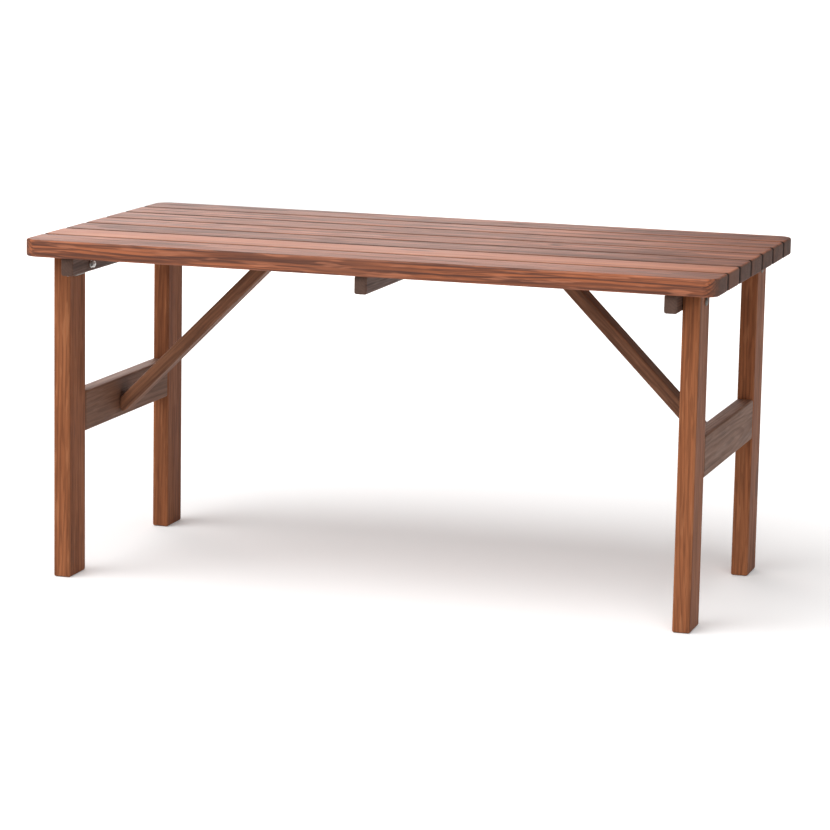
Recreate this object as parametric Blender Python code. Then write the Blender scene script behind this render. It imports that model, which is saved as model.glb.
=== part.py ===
"""Folding garden table: a slatted top on three battens, and at each end a frame of two legs
and a crossrail that folds in under the top, held upright by a diagonal brace.

Metres, +Z up. X runs along the table, Y from its front edge to its back edge, and the origin is
on the floor under the middle of the top. The two ends are the same shape: each is modelled at +X
under an empty, and the left one's empty is turned half a turn about Z.
"""

import math

import bmesh
import bpy
from mathutils import Matrix, Vector

# Driving dimensions
HEIGHT = 0.740
TOP_LENGTH = 1.500
SLAT_COUNT = 7
SLAT_WIDTH = 0.107
SLAT_GAP = 0.006
BOARD = 0.037  # thickness of the slats, legs and crossrails
CORNER_RADIUS = 0.032
ARRIS = 0.004
FIT_GAP = 0.0003  # between pieces that touch

BATTEN_THICK = 0.027
BATTEN_DEEP = 0.039
BATTEN_HALF_LENGTH = 0.378

LEG_WIDTH = 0.089
LEG_OUTER_X = 0.704
LEG_OUTER_Y = 0.330
RAIL_LOW = 0.308
RAIL_DEEP = 0.088
TENON_LENGTH = 0.030
TENON_THICK = 0.013
TENON_DEEP = 0.060

BRACE_THICK = 0.029
BRACE_WIDTH = 0.050
BRACE_LANE = 0.0265  # each brace is this far off the middle, so that the two pass when folded
BRACE_INNER_SUM = 0.977  # the brace's inner face is the plane x + z = this

# Leg hinges: a pair of let-in leaves between batten and leg, knuckle below the batten
HINGE_WIDTH = 0.050
HINGE_REACH = 0.034
LEAF_THICK = 0.002
LEAF_FROM_AXIS = 0.00025
KNUCKLE_RADIUS = 0.0045
PIN_RADIUS = 0.002
PIN_CLEARANCE = 0.0002
KNUCKLE_ROOM = 0.0005
BOLT_Y = 0.278
BOLT_Z = 0.680
BOLT_RADIUS = 0.004
BOLT_HEAD_RADIUS = 0.0095
BOLT_HEAD_HIGH = 0.0045
NUT_FLATS = 0.013
NUT_HIGH = 0.0065
WASHER_RADIUS = 0.0085
WASHER_THICK = 0.0015

# Brace hinges: leaves on the surface of the middle slat and of the brace
STRAP_WIDTH = 0.044
STRAP_REACH = 0.034
STRAP_KNUCKLE_RADIUS = 0.004
STRAP_PIN_RADIUS = 0.0015

# Ball catch in each brace's lower end, with its striking plate in the crossrail
CATCH_RADIUS = 0.004
CATCH_LENGTH = 0.014
CATCH_Z = 0.339
STRIKE_WIDTH = 0.024
STRIKE_DEEP = 0.030
STRIKE_THICK = 0.002

ROUND_SIDES = 16

# Each finish is a colour, a roughness and how metallic it is
TOP_PINE = ((0.32, 0.135, 0.075), 0.45, 0.0)
LEG_PINE = ((0.30, 0.12, 0.06), 0.50, 0.0)
BATTEN_PINE = ((0.16, 0.09, 0.06), 0.60, 0.0)
BRACE_PINE = ((0.25, 0.095, 0.05), 0.55, 0.0)
HINGE_STEEL = ((0.32, 0.31, 0.29), 0.40, 1.0)
BRIGHT_STEEL = ((0.62, 0.62, 0.60), 0.35, 1.0)

# Sizes worked out from those above
UNDERSIDE = HEIGHT - BOARD
TOP_DEPTH = SLAT_COUNT * SLAT_WIDTH + (SLAT_COUNT - 1) * SLAT_GAP
LEG_INNER_X = LEG_OUTER_X - BOARD
LEG_INNER_Y = LEG_OUTER_Y - LEG_WIDTH
BATTEN_LOW = UNDERSIDE - FIT_GAP - BATTEN_DEEP
BATTEN_OUTER_X = LEG_INNER_X - FIT_GAP
AXIS_X = (LEG_INNER_X + BATTEN_OUTER_X) / 2
AXIS_Z = BATTEN_LOW - KNUCKLE_RADIUS - KNUCKLE_ROOM
BRACE_OUTER_SUM = BRACE_INNER_SUM + BRACE_THICK * math.sqrt(2)
STRAP_OFFSET = STRAP_KNUCKLE_RADIUS + FIT_GAP
BRACE_AXIS_Z = UNDERSIDE - STRAP_OFFSET
BRACE_AXIS_X = BRACE_INNER_SUM - STRAP_OFFSET * math.sqrt(2) - BRACE_AXIS_Z


def clear_scene():
    for obj in list(bpy.data.objects):
        bpy.data.objects.remove(obj, do_unlink=True)


def material(name, finish):
    """A material for one piece: finish is its colour, its roughness and how metallic it is."""
    colour, roughness, metallic = finish
    mat = bpy.data.materials.new(name)
    mat.use_nodes = True
    shader = mat.node_tree.nodes["Principled BSDF"]
    shader.inputs["Base Color"].default_value = (*colour, 1.0)
    shader.inputs["Roughness"].default_value = roughness
    shader.inputs["Metallic"].default_value = metallic
    mat.diffuse_color = (*colour, 1.0)
    return mat


def add_object(name, shape, finish=None, parent=None, at=(0, 0, 0)):
    """Puts a bmesh in the scene. Its points are in the parent's frame, and at is its origin there."""
    bmesh.ops.translate(shape, verts=shape.verts, vec=-Vector(at))
    bmesh.ops.recalc_face_normals(shape, faces=shape.faces)
    mesh = bpy.data.meshes.new(name)
    shape.to_mesh(mesh)
    shape.free()
    obj = bpy.data.objects.new(name, mesh)
    bpy.context.scene.collection.objects.link(obj)
    obj.location = at
    obj.parent = parent
    if finish:
        mesh.materials.append(material(name, finish))
    return obj


def empty(name, at=(0, 0, 0), parent=None, turn=0.0):
    obj = bpy.data.objects.new(name, None)
    bpy.context.scene.collection.objects.link(obj)
    obj.location = at
    obj.rotation_euler = (0, 0, turn)
    obj.parent = parent
    return obj


def block(low, high):
    """A plain box between two corners."""
    shape = bmesh.new()
    bmesh.ops.create_cube(shape, size=1.0)
    size = [b - a for a, b in zip(low, high)]
    middle = [(a + b) / 2 for a, b in zip(low, high)]
    bmesh.ops.scale(shape, vec=size, verts=shape.verts)
    bmesh.ops.translate(shape, vec=middle, verts=shape.verts)
    return shape


def prism(outline, along, start, end):
    """An outline in the two axes other than along, extruded along that axis from start to end."""
    first, second = [axis for axis in range(3) if axis != along]
    shape = bmesh.new()
    points = []
    for a, b in outline:
        place = [0.0, 0.0, 0.0]
        place[first], place[second], place[along] = a, b, start
        points.append(shape.verts.new(place))
    face = shape.faces.new(points)
    grown = bmesh.ops.extrude_face_region(shape, geom=[face])["geom"]
    offset = [0.0, 0.0, 0.0]
    offset[along] = end - start
    moved = [item for item in grown if isinstance(item, bmesh.types.BMVert)]
    bmesh.ops.translate(shape, vec=offset, verts=moved)
    return shape


def turned(profile, direction, at, sides=ROUND_SIDES):
    """A lathe shape: profile is (distance along direction, radius), and zero radius is a pole."""
    shape = bmesh.new()
    turn = Vector((0, 0, 1)).rotation_difference(Vector(direction)).to_matrix()
    rings = []
    for along, radius in profile:
        count = sides if radius > 0 else 1
        angles = [2 * math.pi * k / sides for k in range(count)]
        local = [Vector((radius * math.cos(a), radius * math.sin(a), along)) for a in angles]
        rings.append([shape.verts.new(turn @ point + Vector(at)) for point in local])
    for lower, upper in zip(rings, rings[1:]):
        for k in range(sides):
            n = (k + 1) % sides
            corners = [lower[k % len(lower)], lower[n % len(lower)]]
            corners += [upper[n % len(upper)], upper[k % len(upper)]]
            shape.faces.new(list(dict.fromkeys(corners)))
    return shape


def rod(radius, length, direction, at, sides=ROUND_SIDES):
    """A round bar of the given length, starting at a point."""
    return turned([(0, 0), (0, radius), (length, radius), (length, 0)], direction, at, sides)


def soften(obj, width=ARRIS, segments=2):
    bevel = obj.modifiers.new("arris", "BEVEL")
    bevel.width = width
    bevel.segments = segments
    bevel.limit_method = "ANGLE"
    bevel.angle_limit = math.radians(30)


def smooth_round(obj):
    obj.data.shade_smooth()
    obj.data.set_sharp_from_angle(angle=math.radians(35))


def combine(obj, shape, operation):
    """Joins a helper shape, given in the frame of obj's parent, to obj, or cuts it away."""
    count = len(obj.modifiers)
    helper = add_object(f"{obj.name}_helper_{count}", shape, parent=obj.parent)
    helper.hide_render = True
    helper.display_type = "WIRE"
    boolean = obj.modifiers.new(f"{operation.lower()}_{count}", "BOOLEAN")
    boolean.object = helper
    boolean.operation = operation
    boolean.solver = "EXACT"


def cut(obj, shape):
    combine(obj, shape, "DIFFERENCE")


def join(obj, shape):
    combine(obj, shape, "UNION")


def centre_of(shape):
    points = [vert.co for vert in shape.verts]
    return sum(points, Vector()) / len(points)


def board(name, shape, finish, parent=None, at=None):
    """A sawn piece of wood with its arrises rounded."""
    obj = add_object(name, shape, finish, parent, centre_of(shape) if at is None else at)
    soften(obj)
    return obj


def slat_outline(y_low, y_high, rounded_low, rounded_high, steps=6):
    """A slat seen from above, with rounded corners on the sides that are on the table's edge."""
    half = TOP_LENGTH / 2
    corners = [
        (half, y_low, -90, rounded_low),
        (half, y_high, 0, rounded_high),
        (-half, y_high, 90, rounded_high),
        (-half, y_low, 180, rounded_low),
    ]
    points = []
    for x, y, start, rounded in corners:
        if not rounded:
            points.append((x, y))
            continue
        centre_x = x - math.copysign(CORNER_RADIUS, x)
        centre_y = y + (CORNER_RADIUS if y == y_low else -CORNER_RADIUS)
        for k in range(steps + 1):
            angle = math.radians(start + 90 * k / steps)
            reach_x = centre_x + CORNER_RADIUS * math.cos(angle)
            points.append((reach_x, centre_y + CORNER_RADIUS * math.sin(angle)))
    return points


def make_top():
    pitch = SLAT_WIDTH + SLAT_GAP
    for number in range(SLAT_COUNT):
        low = -TOP_DEPTH / 2 + number * pitch
        first, last = number == 0, number == SLAT_COUNT - 1
        outline = slat_outline(low, low + SLAT_WIDTH, first, last)
        board(f"slat_{number + 1}", prism(outline, 2, UNDERSIDE, HEIGHT), TOP_PINE)
    low = (-BATTEN_THICK / 2, -BATTEN_HALF_LENGTH, BATTEN_LOW)
    high = (BATTEN_THICK / 2, BATTEN_HALF_LENGTH, UNDERSIDE - FIT_GAP)
    board("batten_middle", block(low, high), BATTEN_PINE)


def batten_at_leg(name, end):
    """The batten beside a pair of legs, with a recess and a bolt hole for each hinge leaf."""
    low = (BATTEN_OUTER_X - BATTEN_THICK, -BATTEN_HALF_LENGTH, BATTEN_LOW)
    high = (BATTEN_OUTER_X, BATTEN_HALF_LENGTH, UNDERSIDE - FIT_GAP)
    batten = board(name, block(low, high), BATTEN_PINE, end)
    inner = AXIS_X - LEAF_FROM_AXIS - LEAF_THICK - FIT_GAP
    half = HINGE_WIDTH / 2 + FIT_GAP
    for y in (-BOLT_Y, BOLT_Y):
        recess_low = (inner, y - half, BATTEN_LOW - 0.01)
        recess_high = (LEG_INNER_X + 0.01, y + half, AXIS_Z + HINGE_REACH + FIT_GAP)
        cut(batten, block(recess_low, recess_high))
        start = (BATTEN_OUTER_X - BATTEN_THICK - 0.01, y, BOLT_Z)
        cut(batten, rod(BOLT_RADIUS + FIT_GAP, BATTEN_THICK + 0.02, (1, 0, 0), start))


def make_leg(name, pivot, y_sign):
    """One leg, with its mortise for the crossrail and its recesses for the hinge."""
    y_edges = sorted((y_sign * LEG_INNER_Y, y_sign * LEG_OUTER_Y))
    low = Vector((LEG_INNER_X, y_edges[0], 0)) - pivot.location
    high = Vector((LEG_OUTER_X, y_edges[1], UNDERSIDE - FIT_GAP)) - pivot.location
    leg = board(name, block(low, high), LEG_PINE, pivot)

    def from_pivot(x, y, z):
        return Vector((x, y, z)) - pivot.location

    middle_x = LEG_INNER_X + BOARD / 2
    middle_z = RAIL_LOW + RAIL_DEEP / 2
    half_thick = TENON_THICK / 2 + FIT_GAP
    half_deep = TENON_DEEP / 2 + FIT_GAP
    y_tenon = sorted((y_sign * (LEG_INNER_Y - 0.01), y_sign * (LEG_INNER_Y + TENON_LENGTH)))
    mortise_low = from_pivot(middle_x - half_thick, y_tenon[0], middle_z - half_deep)
    mortise_high = from_pivot(middle_x + half_thick, y_tenon[1], middle_z + half_deep)
    cut(leg, block(mortise_low, mortise_high))

    bolt_y = y_sign * BOLT_Y
    half = HINGE_WIDTH / 2 + FIT_GAP
    leaf_back = AXIS_X + LEAF_FROM_AXIS + LEAF_THICK + FIT_GAP
    leaf_low = from_pivot(LEG_INNER_X - 0.01, bolt_y - half, AXIS_Z)
    leaf_high = from_pivot(leaf_back, bolt_y + half, AXIS_Z + HINGE_REACH + FIT_GAP)
    cut(leg, block(leaf_low, leaf_high))
    room = KNUCKLE_RADIUS + KNUCKLE_ROOM
    groove_low = from_pivot(LEG_INNER_X - 0.01, bolt_y - half, AXIS_Z - room)
    groove_high = from_pivot(AXIS_X + room, bolt_y + half, AXIS_Z + room)
    cut(leg, block(groove_low, groove_high))
    start = from_pivot(LEG_INNER_X - 0.01, bolt_y, BOLT_Z)
    cut(leg, rod(BOLT_RADIUS + FIT_GAP, BOARD + 0.02, (1, 0, 0), start))


def make_crossrail(name, pivot):
    """The rail between two legs: shoulders at the legs, a stub tenon into each, and a recess."""
    half_length = LEG_INNER_Y - FIT_GAP
    low = Vector((LEG_INNER_X, -half_length, RAIL_LOW)) - pivot.location
    high = Vector((LEG_OUTER_X, half_length, RAIL_LOW + RAIL_DEEP)) - pivot.location
    rail = board(name, block(low, high), LEG_PINE, pivot)
    middle = Vector((LEG_INNER_X + BOARD / 2, 0, RAIL_LOW + RAIL_DEEP / 2)) - pivot.location
    reach = Vector((TENON_THICK / 2, half_length + TENON_LENGTH - FIT_GAP, TENON_DEEP / 2))
    join(rail, block(middle - reach, middle + reach))
    y = BRACE_LANE
    half = Vector((0, STRIKE_WIDTH / 2 + FIT_GAP, STRIKE_DEEP / 2 + FIT_GAP))
    face = Vector((LEG_INNER_X - 0.01, y, CATCH_Z)) - pivot.location
    back = Vector((LEG_INNER_X + STRIKE_THICK + FIT_GAP, y, CATCH_Z)) - pivot.location
    cut(rail, block(face - half, back + half))


def make_brace(name, pivot):
    """The diagonal brace: cut level under the slat and plumb against the crossrail."""
    top = UNDERSIDE - FIT_GAP
    end = LEG_INNER_X - FIT_GAP
    outline = [
        (BRACE_INNER_SUM - top, top),
        (BRACE_OUTER_SUM - top, top),
        (end, BRACE_OUTER_SUM - end),
        (end, BRACE_INNER_SUM - end),
    ]
    offset_x, _, offset_z = pivot.location
    local = [(x - offset_x, z - offset_z) for x, z in outline]
    edge = BRACE_WIDTH / 2
    shape = prism(local, 1, BRACE_LANE - edge, BRACE_LANE + edge)
    brace = board(name, shape, BRACE_PINE, pivot, (0, 0, 0))
    start = Vector((end + 0.01, BRACE_LANE, CATCH_Z)) - pivot.location
    bore = rod(CATCH_RADIUS + FIT_GAP, CATCH_LENGTH + 0.01 + FIT_GAP, (-1, 0, 0), start)
    cut(brace, bore)


def leaf_outline(width, knuckles, tab_start, clear_start, reach):
    """A hinge leaf seen flat: it reaches the axis only at its own knuckles."""
    points = []
    for low, high in knuckles:
        points += [(low, clear_start), (low, tab_start), (high, tab_start), (high, clear_start)]
    points += [(width / 2, clear_start), (width / 2, reach), (-width / 2, reach)]
    points += [(-width / 2, clear_start)]
    return list(dict.fromkeys(points))


def hinge_leaf(name, parent, at, tilt, side, spec, knuckles, bolt_from_axis=None):
    """A leaf with its rolled knuckles. Flat, it reaches up +Z from an axis along Y, and side says
    which side of the axis the plate is on. tilt then turns it about the axis."""
    thick_low, thick_high = sorted((side * spec["near"], side * (spec["near"] + LEAF_THICK)))
    outline = leaf_outline(spec["width"], knuckles, spec["tab"], spec["clear"], spec["reach"])
    parts = [prism(outline, 0, thick_low, thick_high)]
    parts += [rod(spec["knuckle"], high - low, (0, 1, 0), (0, low, 0)) for low, high in knuckles]
    bore_start = (0, -spec["width"] / 2 - 0.01, 0)
    parts.append(rod(spec["pin"] + PIN_CLEARANCE, spec["width"] + 0.02, (0, 1, 0), bore_start))
    if bolt_from_axis:
        parts.append(rod(BOLT_RADIUS + FIT_GAP, 0.02, (1, 0, 0), (-0.01, 0, bolt_from_axis)))
    place = Matrix.Translation(at) @ Matrix.Rotation(tilt, 4, "Y")
    for part in parts:
        bmesh.ops.transform(part, matrix=place, verts=part.verts)
    leaf = add_object(name, parts[0], HINGE_STEEL, parent, at)
    for part in parts[1 : 1 + len(knuckles)]:
        join(leaf, part)
    for part in parts[1 + len(knuckles) :]:
        cut(leaf, part)
    return leaf


def outer_knuckles(width, split):
    return [(-width / 2, -split), (split, width / 2)]


def middle_knuckle(split):
    return [(-split + 2 * PIN_CLEARANCE, split - 2 * PIN_CLEARANCE)]


def make_leg_hinge(corner, end, pivot, y):
    """The hinge of one leg: two bolted leaves let into batten and leg, and the pin."""
    spec = {
        "width": HINGE_WIDTH,
        "near": LEAF_FROM_AXIS,
        "tab": 0.003,
        "clear": KNUCKLE_RADIUS + KNUCKLE_ROOM,
        "reach": HINGE_REACH,
        "knuckle": KNUCKLE_RADIUS,
        "pin": PIN_RADIUS,
    }
    axis = Vector((AXIS_X, y, AXIS_Z))
    rise = BOLT_Z - AXIS_Z
    split = HINGE_WIDTH / 6
    outer = outer_knuckles(HINGE_WIDTH, split)
    hinge_leaf(f"hinge_batten_leaf_{corner}", end, axis, 0, -1, spec, outer, rise)
    turning = axis - pivot.location
    own = middle_knuckle(split)
    hinge_leaf(f"hinge_leg_leaf_{corner}", pivot, turning, 0, 1, spec, own, rise)
    start = axis - Vector((0, HINGE_WIDTH / 2 - FIT_GAP, 0))
    pin = rod(PIN_RADIUS, HINGE_WIDTH - 2 * FIT_GAP, (0, 1, 0), start)
    smooth_round(add_object(f"hinge_pin_{corner}", pin, BRIGHT_STEEL, end, axis))
    make_leg_bolt(corner, pivot, y)
    make_batten_bolt(corner, end, y)


def make_leg_bolt(corner, pivot, y):
    """A round-headed bolt from the leg's outer face into the leaf on its inner face."""
    tip = AXIS_X + LEAF_FROM_AXIS
    seat = LEG_OUTER_X + FIT_GAP - tip
    profile = [(0, 0), (0, BOLT_RADIUS), (seat, BOLT_RADIUS), (seat, BOLT_HEAD_RADIUS)]
    for k in (1, 2, 3):
        angle = math.pi / 2 * k / 4
        radius = BOLT_HEAD_RADIUS * math.cos(angle)
        profile.append((seat + BOLT_HEAD_HIGH * math.sin(angle), radius))
    profile.append((seat + BOLT_HEAD_HIGH, 0))
    at = Vector((tip, y, BOLT_Z)) - pivot.location
    shape = turned(profile, (1, 0, 0), at)
    smooth_round(add_object(f"leg_bolt_{corner}", shape, BRIGHT_STEEL, pivot, at))


def make_batten_bolt(corner, end, y):
    """A stud in the batten's leaf, through the batten, with a washer and a nut on its inner face."""
    tip = AXIS_X - LEAF_FROM_AXIS
    face = BATTEN_OUTER_X - BATTEN_THICK
    past_nut = 0.0015
    length = tip - face + WASHER_THICK + NUT_HIGH + 3 * FIT_GAP + past_nut
    at = Vector((tip, y, BOLT_Z))
    shape = rod(BOLT_RADIUS, length, (-1, 0, 0), at)
    smooth_round(add_object(f"batten_bolt_{corner}", shape, BRIGHT_STEEL, end, at))
    at = Vector((face - FIT_GAP, y, BOLT_Z))
    shape = rod(WASHER_RADIUS, WASHER_THICK, (-1, 0, 0), at)
    washer = add_object(f"washer_{corner}", shape, BRIGHT_STEEL, end, at)
    at = at - Vector((WASHER_THICK + FIT_GAP, 0, 0))
    shape = rod(NUT_FLATS / math.sqrt(3), NUT_HIGH, (-1, 0, 0), at, 6)
    nut = add_object(f"nut_{corner}", shape, BRIGHT_STEEL, end, at)
    for piece in (washer, nut):
        start = Vector((face - 0.03, y, BOLT_Z))
        cut(piece, rod(BOLT_RADIUS + FIT_GAP / 2, 0.04, (1, 0, 0), start))


def make_brace_hinge(name, end, pivot):
    """The hinge at the head of a brace, with both leaves on the surface."""
    spec = {
        "width": STRAP_WIDTH,
        "near": STRAP_KNUCKLE_RADIUS - LEAF_THICK,
        "tab": 0.0,
        "clear": STRAP_KNUCKLE_RADIUS + KNUCKLE_ROOM,
        "reach": STRAP_REACH,
        "knuckle": STRAP_KNUCKLE_RADIUS,
        "pin": STRAP_PIN_RADIUS,
    }
    axis = Vector((BRACE_AXIS_X, BRACE_LANE, BRACE_AXIS_Z))
    split = STRAP_WIDTH / 6
    outer = outer_knuckles(STRAP_WIDTH, split)
    level = -math.pi / 2
    hinge_leaf(f"brace_hinge_top_leaf_{name}", end, axis, level, 1, spec, outer)
    turning = axis - pivot.location
    along_brace = math.radians(135)
    own = middle_knuckle(split)
    hinge_leaf(f"brace_hinge_leaf_{name}", pivot, turning, along_brace, -1, spec, own)
    start = axis - Vector((0, STRAP_WIDTH / 2 - FIT_GAP, 0))
    pin = rod(STRAP_PIN_RADIUS, STRAP_WIDTH - 2 * FIT_GAP, (0, 1, 0), start)
    smooth_round(add_object(f"brace_hinge_pin_{name}", pin, BRIGHT_STEEL, end, axis))


def make_catch(name, frame_pivot, brace_pivot):
    """A ball catch in the brace's lower end, and the plate with a dimple that it presses into."""
    nose = LEG_INNER_X - FIT_GAP
    at = Vector((nose - CATCH_LENGTH, BRACE_LANE, CATCH_Z)) - brace_pivot.location
    profile = [(0, 0), (0, CATCH_RADIUS), (CATCH_LENGTH - 0.002, CATCH_RADIUS)]
    profile += [(CATCH_LENGTH - 0.001, CATCH_RADIUS * 0.7), (CATCH_LENGTH, 0)]
    catch = turned(profile, (1, 0, 0), at)
    smooth_round(add_object(f"ball_catch_{name}", catch, BRIGHT_STEEL, brace_pivot, at))
    half = Vector((0, STRIKE_WIDTH / 2, STRIKE_DEEP / 2))
    face = Vector((LEG_INNER_X, BRACE_LANE, CATCH_Z)) - frame_pivot.location
    back = face + Vector((STRIKE_THICK, 0, 0))
    shape = block(face - half, back + half)
    plate = add_object(f"striking_plate_{name}", shape, BRIGHT_STEEL, frame_pivot, face)
    dimple = rod(CATCH_RADIUS * 0.6, 0.01, (-1, 0, 0), face + Vector((0.001, 0, 0)))
    cut(plate, dimple)


def make_end(side, turn):
    """One end of the table: batten, folding leg frame, brace and all their fittings."""
    end = empty(f"end_{side}", turn=turn)
    frame_pivot = empty(f"fold_axis_{side}", (AXIS_X, 0, AXIS_Z), end)
    brace_pivot = empty(f"brace_axis_{side}", (BRACE_AXIS_X, 0, BRACE_AXIS_Z), end)
    batten_at_leg(f"batten_{side}", end)
    make_crossrail(f"crossrail_{side}", frame_pivot)
    back_sign = 1 if turn == 0 else -1
    for row, y_sign in (("front", -back_sign), ("back", back_sign)):
        corner = f"{row}_{side}"
        make_leg(f"leg_{corner}", frame_pivot, y_sign)
        make_leg_hinge(corner, end, frame_pivot, y_sign * BOLT_Y)
    make_brace(f"brace_{side}", brace_pivot)
    make_brace_hinge(side, end, brace_pivot)
    make_catch(side, frame_pivot, brace_pivot)


def main():
    clear_scene()
    make_top()
    make_end("right", 0.0)
    make_end("left", math.pi)


main()
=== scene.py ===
"""The looks of a folding slatted timber table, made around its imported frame.

Every wooden piece is a board with rounded arrises, worked out on a grid and placed on its own
frame node. Each carries its grain: the place of every point in the log that it was sawn from.
Metres, +Z up, X along the table and Y from its front edge to its back edge.
"""

import math

import bmesh
import bpy
import numpy as np
from mathutils import Matrix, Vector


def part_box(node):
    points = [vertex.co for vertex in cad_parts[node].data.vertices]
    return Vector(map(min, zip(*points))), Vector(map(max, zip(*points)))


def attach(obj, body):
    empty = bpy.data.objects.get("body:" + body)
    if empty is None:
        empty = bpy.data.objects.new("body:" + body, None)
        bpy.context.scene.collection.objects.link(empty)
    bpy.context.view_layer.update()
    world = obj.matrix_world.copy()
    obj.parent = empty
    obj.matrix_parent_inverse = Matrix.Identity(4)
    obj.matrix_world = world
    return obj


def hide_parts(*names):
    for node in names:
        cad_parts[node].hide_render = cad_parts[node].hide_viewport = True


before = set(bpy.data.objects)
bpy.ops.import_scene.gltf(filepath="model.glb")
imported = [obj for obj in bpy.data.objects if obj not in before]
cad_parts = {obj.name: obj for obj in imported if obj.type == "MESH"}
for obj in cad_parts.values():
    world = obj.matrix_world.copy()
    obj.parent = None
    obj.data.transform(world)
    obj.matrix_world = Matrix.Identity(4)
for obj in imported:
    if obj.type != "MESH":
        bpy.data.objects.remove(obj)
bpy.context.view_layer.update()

# The camera: where it stands, which way it is turned and its lens
CAMERA_PLACE = (2.128, -6.813, 1.617)
CAMERA_YAW = math.radians(17.3)
CAMERA_PITCH = math.radians(-10.056)
CAMERA_ROLL = math.radians(1.081)
CAMERA_LENS = 144.3

# Shapes that the frame leaves plain
ARRIS = 0.0045  # radius of the boards' long edges
TOP_CORNER = 0.032  # radius of the top's four corners, seen from above
SLAT_CORNER = 0.0095  # radius of each slat's other corners, seen from above
SLOT_EDGE = 0.0030  # a slat's sides take painted shade from this far before its edge
BRACE_TIP = 0.007  # radius of the sharp tips of a brace
SLAT_TONES = (0.58, 0.85, 0.22, 0.50, 0.30, 0.45, 0.20)  # from dark to pale, front to back
FIT_GAP = 0.0003  # between pieces that touch
CELL = 0.022  # faces on a board's flat sides are about this long
FINE = 0.055  # faces beside its edges, as a part of that
ARC_STEPS = 6  # faces across an arris
SAME_PLACE = 7  # points that agree to so many decimals of a metre are one

# ---- The wood's figure, its pale arrises and the painted shade in the slots ----
RING = 0.0052  # from one growth ring to the next
PALE_EDGE = 1.3  # how far wear and painted highlight reach in from the arrises, as a part of their radius
SLOT_MOUTH = 2.6  # how much further the painted shade of a slot spreads at a slat's ends
# colour of the painted shade in the narrow gaps between slats
SLOT_SHADE = (0.008, 0.005, 0.004)
BATTEN_PITH = (0.03, 0.035)  # where the pith lies from a board's middle, across and through
LEG_PITH = (0.02, 0.05)
RAIL_PITH = (-0.01, 0.06)
BRACE_PITH = (0.02, 0.04)

# The fittings, as the frame has them
SLATS = 7
ROWS = ("front", "back")
SIDES = ("left", "right")
LEAF_THICK = 0.002
LEG_LEAF_NEAR = 0.00025  # from the leg hinge's axis to its leaves
LEG_KNUCKLE = 0.0045  # radius of its knuckles
STRAP_LEAF_NEAR = 0.002  # and the same for the brace hinge
STRAP_KNUCKLE = 0.004
KNUCKLE_ROOM = 0.0005
BOLT_SHANK = 0.0372  # from the tip of a leg bolt to the underside of its head
THREAD_PITCH = 0.00125
THREAD_LENGTH = 0.0125
STEEL_EDGE = 0.0003  # chamfers and small roundings of the fittings
PIN_EDGE = 0.0004
LEAF_CORNER = 0.003  # radius of a hinge leaf's far corners
PLATE_CORNER = 0.0035  # and of a striking plate's corners

# Fittings that the frame leaves out
STRAP_SCREWS = ((0.012, -0.014), (0.012, 0.014), (0.027, -0.014), (0.027, 0.014))
SLAT_SCREWS = (-0.03, 0.03)  # from the middle of each slat
PLATE_SCREWS = (-0.0105, 0.0105)  # from the middle of a striking plate
SCREW_HEAD = 0.0036  # radius of a screw's head
SCREW_DEEP = 0.006  # how much of each screw is made
THROUGH = 0.03  # helpers that cut right through pass the wood by about this much
OPEN = 0.01  # and those that cut a recess stand out of it by this much

# The studio
AIR_LIGHT = 0.30
KEY_LIGHT = 3.5
KEY_TURN = (math.radians(38), 0, math.radians(-22))
KEY_SPREAD = math.radians(75)
BACK_PANEL = 175.0
PANEL_PLACE = (-3.2, 5.5, 2.6)
PANEL_TURN = (math.radians(75), 0, math.radians(210))
FLOOR_GLOW = 0.14

X, Y, Z = np.eye(3)


# ---- Shapes on grids ----


def weld(points, quads):
    """Points that lie in one place become one point. Faces that shrink to a line are dropped."""
    places = np.round(points, SAME_PLACE)
    _, first, index = np.unique(places, axis=0, return_index=True, return_inverse=True)
    quads = index.reshape(-1)[quads]
    corners = np.sort(quads, axis=1)
    distinct = 1 + (np.diff(corners, axis=1) > 0).sum(axis=1)
    return points[first], quads[distinct > 2]


def grid_quads(rows, columns, start=0):
    """The corners of each face of a grid of points that are stored row by row."""
    index = start + np.arange(rows * columns).reshape(rows, columns)
    corners = (index[:-1, :-1], index[:-1, 1:], index[1:, 1:], index[1:, :-1])
    return np.stack(corners, axis=-1).reshape(-1, 4)


def join_grids(grids):
    """Several grids of points, each an array (rows, columns, 3), as one welded surface."""
    points, quads, start = [], [], 0
    for grid in grids:
        rows, columns, _ = grid.shape
        points.append(grid.reshape(-1, 3))
        quads.append(grid_quads(rows, columns, start))
        start += rows * columns
    return weld(np.concatenate(points), np.concatenate(quads))


def mesh_piece(name, points, quads):
    """A mesh object at the origin from arrays of points and of four-cornered faces, where a
    face that has two corners in one place becomes a triangle."""
    kept = np.ones(quads.shape, bool)
    for corner in range(1, 4):
        kept[:, corner] = (quads[:, :corner] != quads[:, corner, None]).all(axis=1)
    sizes = kept.sum(axis=1)
    mesh = bpy.data.meshes.new(name)
    mesh.vertices.add(len(points))
    mesh.vertices.foreach_set("co", points.ravel())
    mesh.loops.add(sizes.sum())
    mesh.loops.foreach_set("vertex_index", quads[kept])
    mesh.polygons.add(len(quads))
    mesh.polygons.foreach_set("loop_start", np.cumsum(sizes) - sizes)
    mesh.update(calc_edges=True)
    piece = bpy.data.objects.new(name, mesh)
    bpy.context.scene.collection.objects.link(piece)
    return piece


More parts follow.
